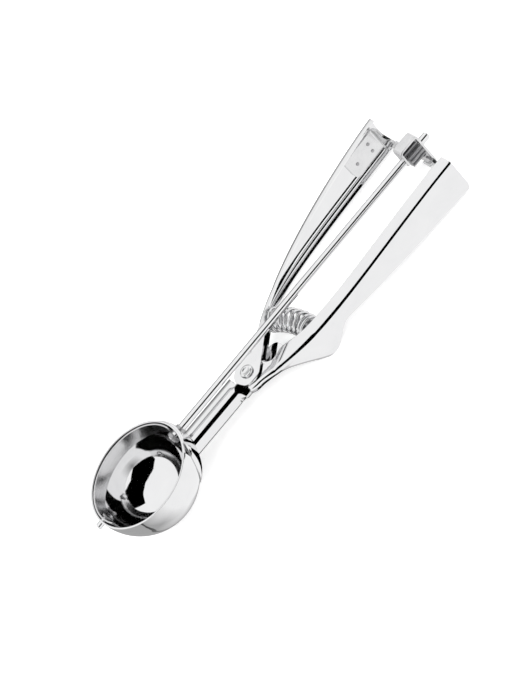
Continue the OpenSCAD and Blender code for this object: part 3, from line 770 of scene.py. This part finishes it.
def makeRod():
    t = rodTurning
    start, end = tidy(rodLow.x), tidy(rodHigh.x)
    straight, straightEnd = start + t["startChamfer"], end - t["endChamfer"]
    profile = [(start, 0), (start, rodRadius - t["startChamfer"])]
    length, rings = straightEnd - straight, t["rings"]
    profile += [(straight + length * i / rings, rodRadius) for i in range(rings + 1)]
    profile += [(end, rodRadius - t["endChamfer"]), (end, 0)]
    rod = turnPiece("scraperRod", profile, (0, 0, 0), (1, 0, 0), (0, 0, 1), steps=72)
    softenEdges(rod, t["soft"], angle=30)
    smoothFaces(rod)
    finishPiece(rod, "scraper", "scraper_rod", polishedSteel)


def makeTipPin():
    low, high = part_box("tip_pin")
    radius = tidy(high.z)
    start, end = pinTurning["startChamfer"], pinTurning["endChamfer"]
    profile = [(low.x, 0), (low.x, radius - start), (low.x + start, radius), (high.x - end, radius),
               (high.x, radius - end), (high.x, 0)]
    pin = turnPiece("tipPin", profile, (0, 0, 0), (1, 0, 0), (0, 0, 1), steps=64)
    softenEdges(pin, pinTurning["soft"], angle=30)
    smoothFaces(pin)
    finishPiece(pin, "scraper", "tip_pin", polishedSteel)


bladePress = {"outer": 26.3 * mm, "sheet": 0.8 * mm, "width": 8.0 * mm, "rest": 3.0, "lug": 8.0,
              "soft": 0.22 * mm}


def makeBlade():
    b = bladePress
    inner, half = b["outer"] - b["sheet"], b["width"] / 2
    bpy.ops.mesh.primitive_circle_add(vertices=4, radius=blank, fill_type="NGON")
    blade = bpy.context.object
    blade.name = "scraperBlade"
    corners = [(inner, -half), (b["outer"], -half), (b["outer"], half), (inner, half)]
    start = Matrix.Rotation(math.radians(-b["lug"]), 4, "Z")
    for vertex, (radius, z) in zip(blade.data.vertices, corners):
        vertex.co = start @ Vector((radius, 0, z))
    editAll(blade)
    bpy.ops.mesh.spin(steps=120, angle=math.radians(180 + 2 * b["lug"]), center=(0, 0, 0), axis=(0, 0, 1))
    bpy.ops.object.mode_set(mode="OBJECT")
    # the spin runs the other way, so this mirrors the band, and leaves it two lugs too far round: the solid
    # spans -8 to 188 degrees, this 8 to 204
    highest = max(v.co.y for v in blade.data.vertices)
    if highest < inner / 2:
        blade.data.transform(Matrix.Scale(-1, 4, (0, 1, 0)))
    resting = Matrix.Rotation(math.radians(-b["rest"]), 4, "X")
    blade.data.transform(Matrix.Translation((bowlX, 0, 0)) @ resting)
    cleanShell(blade)
    softenEdges(blade, b["soft"], angle=45)
    smoothFaces(blade)
    finishPiece(blade, "scraper", "scraper_blade", satinSteel)


makeRod()
makeTipPin()
makeBlade()
pinRadius = tidy(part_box("tip_pin")[1].z)
makeRing("rodCollar", "rod_collar", "scraper", gearSteel, rodRadius, 0.4 * mm)
makeRing("tipCollar", "tip_collar", "scraper", gearSteel, pinRadius, 0.2 * mm)
say("scraper")


cagePress = {"sheet": 1.2 * mm, "fold": 1.9 * mm, "tabGap": 1.0 * mm, "stripSide": 1.5 * mm,
             "cheekLift": 0.6 * mm, "step": 0.7 * mm, "soft": 0.2 * mm}


def makeCage():
    low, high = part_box("rack_cage")
    c = cagePress
    fold, half = c["fold"], tidy(high.y)
    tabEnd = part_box("rack")[1].x - c["stripSide"] - c["tabGap"]
    line = [(tabEnd, low.z)]
    line += arcPoints((high.x - fold, low.z + fold), fold, -90, 0, 8)
    line += arcPoints((high.x - fold, high.z - fold), fold, 0, 90, 8)
    line += arcPoints((low.x + fold, high.z - fold), fold, 90, 180, 8)
    cheekEnd = c["cheekLift"] - half
    line += [(low.x, cheekEnd)]
    points = []
    for a, b in zip(line, line[1:]):
        steps = max(1, round((Vector(b) - Vector(a)).length / c["step"]))
        points += [Vector(a).lerp(Vector(b), i / steps) for i in range(steps)]
    points.append(Vector(line[-1]))
    cheekFrom = next(i for i, p in enumerate(points) if p.x <= low.x + weldGap)
    columns = 12

    def place(row, column):
        y = -half + 2 * half * column / columns
        x, z = points[row]
        if row > cheekFrom:  # the near cheek ends in a half circle round the rod
            tip = -math.sqrt(max(half ** 2 - y ** 2, 0.0))
            top = points[cheekFrom].y
            z = top + (z - top) * (tip - top) / (cheekEnd - top)
        return Vector((x, y, z))

    cage = pressSheet("rackCage", len(points) - 1, columns, place,
                      facing=(((low.x + high.x) / 2, 0, high.z), (0, 0, 1)))
    applyModifier(cage, "SOLIDIFY", thickness=c["sheet"], offset=-1, use_even_offset=True)
    softenEdges(cage, c["soft"], angle=50)
    smoothFaces(cage)
    finishPiece(cage, "frame", "rack_cage", satinSteel)


makeCage()
say("cage")


springCoil = {"outer": 13.0 * mm, "wire": 1.7 * mm, "turns": 8.0, "closedTurns": 1.0, "steps": 32,
              "z": -10.4 * mm, "seatGap": 0.15 * mm, "nearX": 35.0 * mm, "farX": 26.8 * mm,
              "nearReach": 0.9 * mm, "farReach": 2.9 * mm, "closedPitch": 1.06, "keep": 0.875,
              "seatSlim": 0.72, "endSoft": 0.15 * mm, "seatSoft": 0.2 * mm}


def springEnds():
    s, h = springCoil, handlePress
    near = Vector((rivetX + s["nearX"], -(backLine(s["nearX"], 0) - h["fixedFlange"] - s["nearReach"])))
    far = Vector((rivetX + s["farX"], backLine(s["farX"], 0) - h["leverFlange"] - s["farReach"]))
    return near, Vector((rivetX + s["nearX"], 0)), far


def makeSpring():
    s = springCoil
    near, middle, far = springEnds()
    span = (far - near).length
    start = (s["wire"] / 2 + s["seatGap"]) / span
    closed = s["wire"] * s["closedPitch"] / span
    live = s["turns"] - 2 * s["closedTurns"]
    radius = (s["outer"] - s["wire"]) / 2
    count = round(s["turns"] * s["steps"])
    line = []
    for i in range(count + 1):
        n = i / s["steps"]
        if n < s["closedTurns"]:
            t = start + closed * n
        elif n > s["turns"] - s["closedTurns"]:
            t = 1 - start - closed * (s["turns"] - n)
        else:
            t = (start + closed * s["closedTurns"]
                 + (1 - 2 * start - 2 * closed * s["closedTurns"]) * (n - s["closedTurns"]) / live)
        centre = (1 - t) ** 2 * near + 2 * t * (1 - t) * middle + t * t * far
        run = ((1 - t) * (middle - near) + t * (far - middle)).normalized()
        angle = math.tau * n
        sideways = Vector((-run.y, run.x, 0)) * math.cos(angle) + Vector((0, 0, math.sin(angle)))
        line.append(Vector((centre.x, centre.y, s["z"])) + sideways * radius)
    bpy.ops.curve.primitive_nurbs_path_add()
    spring = bpy.context.object
    spring.data.splines.clear()
    spline = spring.data.splines.new("POLY")
    spline.points.add(len(line) - 1)
    for point, place in zip(spline.points, line):
        point.co = (*place, 1)
    spring.data.dimensions = "3D"
    spring.data.bevel_depth = s["wire"] / 2
    spring.data.bevel_resolution = 3
    spring.data.use_fill_caps = True
    makeActive(spring)
    bpy.ops.object.convert(target="MESH")
    spring = bpy.context.object
    spring.name = "coilSpring"
    cleanShell(spring)
    softenEdges(spring, s["endSoft"], segments=2, angle=60)
    smoothFaces(spring, 40)
    finishPiece(spring, "frame", "coil_spring", wireSteel)
    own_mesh(spring)


makeSpring()
makeSoftCopy("fixedSpringSeat", "fixed_spring_seat", "frame", "satin_steel", satinSteel,
             springCoil["seatSoft"], slim=springCoil["seatSlim"])
makeSoftCopy("leverSpringSeat", "lever_spring_seat", "lever", "satin_steel", satinSteel,
             springCoil["seatSoft"])
say("spring")


studio = {"tilt": 3.9, "floorDrop": 28.2 * mm, "floorSize": 6.0, "cameraDistance": 0.650,
          "cameraUp": 42.2, "roll": 50.08, "frameHeight": 700, "focalPixels": 1378, "filmHeight": 24.0,
          "clipNear": 0.01, "clipFar": 20.0, "paperShade": 0.9, "paperGlow": 0.95, "paperLift": 0.45,
          "airLevel": 0.75, "lampDistance": 1.4, "cardDistance": 0.9, "cardColumns": 96, "cardRows": 12,
          "shadowSheetLevel": -29 * mm}
lookAt = Vector((114.0 * mm, -3.83 * mm, -4.22 * mm))


def bareMaterial(name):  # nothing in it but its output
    material = bpy.data.materials.new(name)
    material.use_nodes = True
    tree = material.node_tree
    tree.nodes.clear()
    return material, tree.nodes, tree.links, tree.nodes.new("ShaderNodeOutputMaterial")


def whiteToCamera(name):  # plain pale paper, lifted to white where the camera sees it
    diffuse = studio["paperShade"]
    material, nodes, links, output = bareMaterial(name)
    plain =nodes.new("ShaderNodeBsdfDiffuse")
    plain.inputs["Color"].default_value = (diffuse, diffuse, diffuse, 1)
    glow = nodes.new("ShaderNodeEmission")
    glow.inputs["Strength"].default_value = studio["paperGlow"]
    extra = nodes.new("ShaderNodeEmission")
    extra.inputs["Strength"].default_value = studio["paperLift"]
    raised = nodes.new("ShaderNodeAddShader")
    links.new(plain.outputs[0], raised.inputs[0])
    links.new(extra.outputs[0], raised.inputs[1])
    path = nodes.new("ShaderNodeLightPath")
    seen = nodes.new("ShaderNodeMath")
    seen.operation = "MAXIMUM"
    links.new(path.outputs["Is Glossy Ray"], seen.inputs[0])
    links.new(path.outputs["Is Transmission Ray"], seen.inputs[1])
    overCamera = nodes.new("ShaderNodeMixShader")
    overMirror = nodes.new("ShaderNodeMixShader")
    links.new(path.outputs["Is Camera Ray"], overCamera.inputs["Fac"])
    links.new(plain.outputs[0], overCamera.inputs[1])
    links.new(raised.outputs[0], overCamera.inputs[2])
    links.new(seen.outputs[0], overMirror.inputs["Fac"])
    links.new(overCamera.outputs[0], overMirror.inputs[1])
    links.new(glow.outputs[0], overMirror.inputs[2])
    links.new(overMirror.outputs[0], output.inputs["Surface"])
    return material


def makeFloor():
    bpy.ops.mesh.primitive_plane_add(size=studio["floorSize"], location=(bowlX, 0, 0))
    floor = bpy.context.object
    floor.name = "floorSheet"
    tilt = math.radians(studio["tilt"])
    floor.rotation_euler = (0, -tilt, 0)
    floor.location = (bowlX, 0, -studio["floorDrop"] / math.cos(tilt))
    floor.data.materials.append(whiteToCamera("floorPaper"))
    floor.visible_glossy = False


def cardMaterial(name, shades):
    # glows from corner to corner: lower start, lower end, upper start, upper end
    material, nodes, links, output = bareMaterial(name)
    glow =nodes.new("ShaderNodeEmission")
    place = nodes.new("ShaderNodeUVMap")
    axes = nodes.new("ShaderNodeSeparateXYZ")
    links.new(place.outputs["UV"], axes.inputs["Vector"])
    edges = []
    for first, last in (shades[:2], shades[2:]):
        edge = nodes.new("ShaderNodeMapRange")
        edge.inputs["To Min"].default_value = first
        edge.inputs["To Max"].default_value = last
        links.new(axes.outputs["X"], edge.inputs["Value"])
        edges.append(edge)
    shade = nodes.new("ShaderNodeMapRange")
    links.new(axes.outputs["Y"], shade.inputs["Value"])
    links.new(edges[0].outputs["Result"], shade.inputs["To Min"])
    links.new(edges[1].outputs["Result"], shade.inputs["To Max"])
    links.new(shade.outputs["Result"], glow.inputs["Strength"])
    links.new(glow.outputs[0], output.inputs["Surface"])
    return material


def towards(azimuth, elevation):  # azimuth 0 is the camera's side, elevation 90 is overhead
    around, up = math.radians(azimuth), math.radians(elevation)
    return Vector((math.sin(around) * math.cos(up), -math.cos(around) * math.cos(up), math.sin(up)))


def edgeAt(edge, azimuth):
    for (a, low), (b, high) in zip(edge, edge[1:]):
        if azimuth <= b:
            return low + (high - low) * (azimuth - a) / (b - a)
    return edge[-1][1]


def onlyInMirrors(obj, shades):  # a studio card, or a black sheet of painted shadow, that only polished metal sees
    obj.data.materials.append(cardMaterial(obj.name + "Paper", shades))
    obj.visible_camera = False
    obj.visible_diffuse = False
    obj.visible_shadow = False
    obj.visible_transmission = False


screens = {  # corner strengths, and the lower and upper edge as (azimuth, elevation)
    "darkScreen": {"shades": (0, 0, 0, 0),
                   "lower": [(-53, 26), (-51, 20), (-2, 18), (8, 22), (25, 28), (45, 25), (58, 20), (72, 23),
                             (100, 33)],
                   "upper": [(-53, 28), (-40, 45), (-30, 50), (-10, 56), (10, 58), (30, 61), (80, 60),
                             (100, 57)]},
    "lowScreen": {"shades": (0.42, 0.42, 0.42, 0.42), "lower": [(-180, -56), (-66, -56)],
                  "upper": [(-180, -26), (-66, -26)]},
    "lowFoot": {"shades": (1.0, 1.0, 0.42, 0.42), "lower": [(-180, -86), (-66, -86)],
                "upper": [(-180, -56), (-66, -56)]},
    "sideScreen": {"shades": (0.42, 1.0, 0.5, 1.0), "lower": [(-66, -56), (-16, -56)],
                   "upper": [(-66, -24), (-16, -24)]},
    "sideFoot": {"shades": (1.0, 1.0, 0.42, 1.0), "lower": [(-66, -86), (-16, -86)],
                 "upper": [(-66, -56), (-16, -56)]},
    "arcScreen": {"shades": (0.3, 0.05, 0.3, 0.05), "distance": 0.88,
                  "lower": [(-150, -60), (-120, -58.5), (-92, -55), (-82, -51), (-74, -44), (-66, -32),
                            (-63, -27)],
                  "upper": [(-150, -58), (-120, -56), (-92, -51.5), (-82, -46.5), (-74, -38.5), (-68, -27),
                            (-63, -24)]},
    "farLeftScreen": {"shades": (0.05, 1.0, 0.8, 1.0), "lower": [(-180, 4), (-130, 4)],
                      "upper": [(-180, 37), (-130, 37)]},
    "farRightScreen": {"shades": (1.0, 0.05, 1.0, 0.8), "lower": [(130, 4), (180, 4)],
                       "upper": [(130, 37), (180, 37)]},
    "farLowScreen": {"shades": (0.7, 0.7, 0.12, 0.12), "lower": [(-210, -45), (-152, -45)],
                     "upper": [(-210, 4), (-152, 4)]},
}
shadowSheets = {  # level black sheets just under the object, each by two corners: a painted shadow of the object on the table, seen only in the metal
    "neckShadowSheet": ((52 * mm, -7 * mm), (88 * mm, 14 * mm)),
    "springShadowSheet": ((124 * mm, -18 * mm), (146 * mm, 12 * mm)),
    "rootShadowSheet": ((88 * mm, -27 * mm), (102 * mm, -7 * mm)),
}
lamps = {  # azimuth, elevation, power in watts, width in metres
    "keyLight": (-50, 60, 7.0, 0.9),
    "fillLight": (60, 45, 4.0, 1.0),
}


def makeScreen(name):
    lower, upper = screens[name]["lower"], screens[name]["upper"]
    distance = screens[name].get("distance", studio["cardDistance"])
    columns, rows = studio["cardColumns"], studio["cardRows"]
    start, end = lower[0][0], lower[-1][0]

    def place(column, row):
        azimuth = start + (end - start) * column / columns
        low, high = edgeAt(lower, azimuth), edgeAt(upper, azimuth)
        return lookAt + towards(azimuth, low + (high - low) * row / rows) * distance

    middle = (start + end) / 2
    facing = towards(middle, edgeAt(lower, middle))
    screen = pressSheet(name, columns, rows, place, facing=(lookAt + facing * distance, -facing))
    onlyInMirrors(screen, screens[name]["shades"])


# a black sheet under the object that only the metal sees: painted shadow of the object on the table
def makeShadowSheet(name):
    low, high = shadowSheets[name]
    bpy.ops.mesh.primitive_plane_add(size=1)
    sheet = bpy.context.object
    sheet.name = name
    size = (high[0] - low[0], high[1] - low[1], 1, 1)
    middle = Vector(((low[0] + high[0]) / 2, (low[1] + high[1]) / 2, studio["shadowSheetLevel"]))
    sheet.matrix_world = Matrix.Translation(middle) @ Matrix.Diagonal(size)
    onlyInMirrors(sheet, (0, 0, 0, 0))


def makeStudio():
    makeFloor()
    for name in screens:
        makeScreen(name)
    # painted shadow under the object, seen only in the metal
    for name in shadowSheets:
        makeShadowSheet(name)
    world = bpy.data.worlds.new("studioAir")
    bpy.context.scene.world = world
    world.use_nodes = True
    nodes, links = world.node_tree.nodes, world.node_tree.links
    air = nodes["Background"]
    air.inputs["Color"].default_value = (1, 1, 1, 1)
    path = nodes.new("ShaderNodeLightPath")
    seen = nodes.new("ShaderNodeMath")
    seen.operation = "MAXIMUM"
    links.new(path.outputs["Is Camera Ray"], seen.inputs[0])
    links.new(path.outputs["Is Glossy Ray"], seen.inputs[1])
    level = nodes.new("ShaderNodeMapRange")
    level.inputs["To Min"].default_value = studio["airLevel"]
    level.inputs["To Max"].default_value = 1.0
    links.new(seen.outputs[0], level.inputs["Value"])
    links.new(level.outputs["Result"], air.inputs["Strength"])
    for name, (azimuth, elevation, power, size) in lamps.items():
        bpy.ops.object.light_add(type="AREA")
        light = bpy.context.object
        light.name = name
        away = towards(azimuth, elevation)
        turn = away.to_track_quat("Z", "Y").to_matrix().to_4x4()
        light.matrix_world = Matrix.Translation(lookAt + away * studio["lampDistance"]) @ turn
        light.data.energy = power
        light.data.shape = "DISK"
        light.data.size = size
        light.visible_glossy = False


def makeCamera():
    s = studio
    bpy.ops.object.camera_add()
    camera = bpy.context.object
    camera.name = "productCamera"
    up, roll = math.radians(s["cameraUp"]), math.radians(s["roll"])
    away = Vector((0, -math.cos(up), math.sin(up)))
    level = Vector((1, 0, 0))
    steep = Vector((0, -math.sin(up), -math.cos(up)))
    right = level * math.cos(roll) + steep * math.sin(roll)
    top = level * math.sin(roll) - steep * math.cos(roll)
    turn = Matrix((right, top, away)).transposed().to_4x4()
    camera.matrix_world = Matrix.Translation(lookAt + away * s["cameraDistance"]) @ turn
    camera.data.sensor_fit = "VERTICAL"
    camera.data.sensor_height = s["filmHeight"]
    camera.data.lens = s["focalPixels"] / s["frameHeight"] * s["filmHeight"]
    camera.data.clip_start = s["clipNear"]
    camera.data.clip_end = s["clipFar"]
    bpy.context.scene.camera = camera


makeStudio()
makeCamera()
bpy.context.scene.view_settings.view_transform = "Standard"
say("studio")
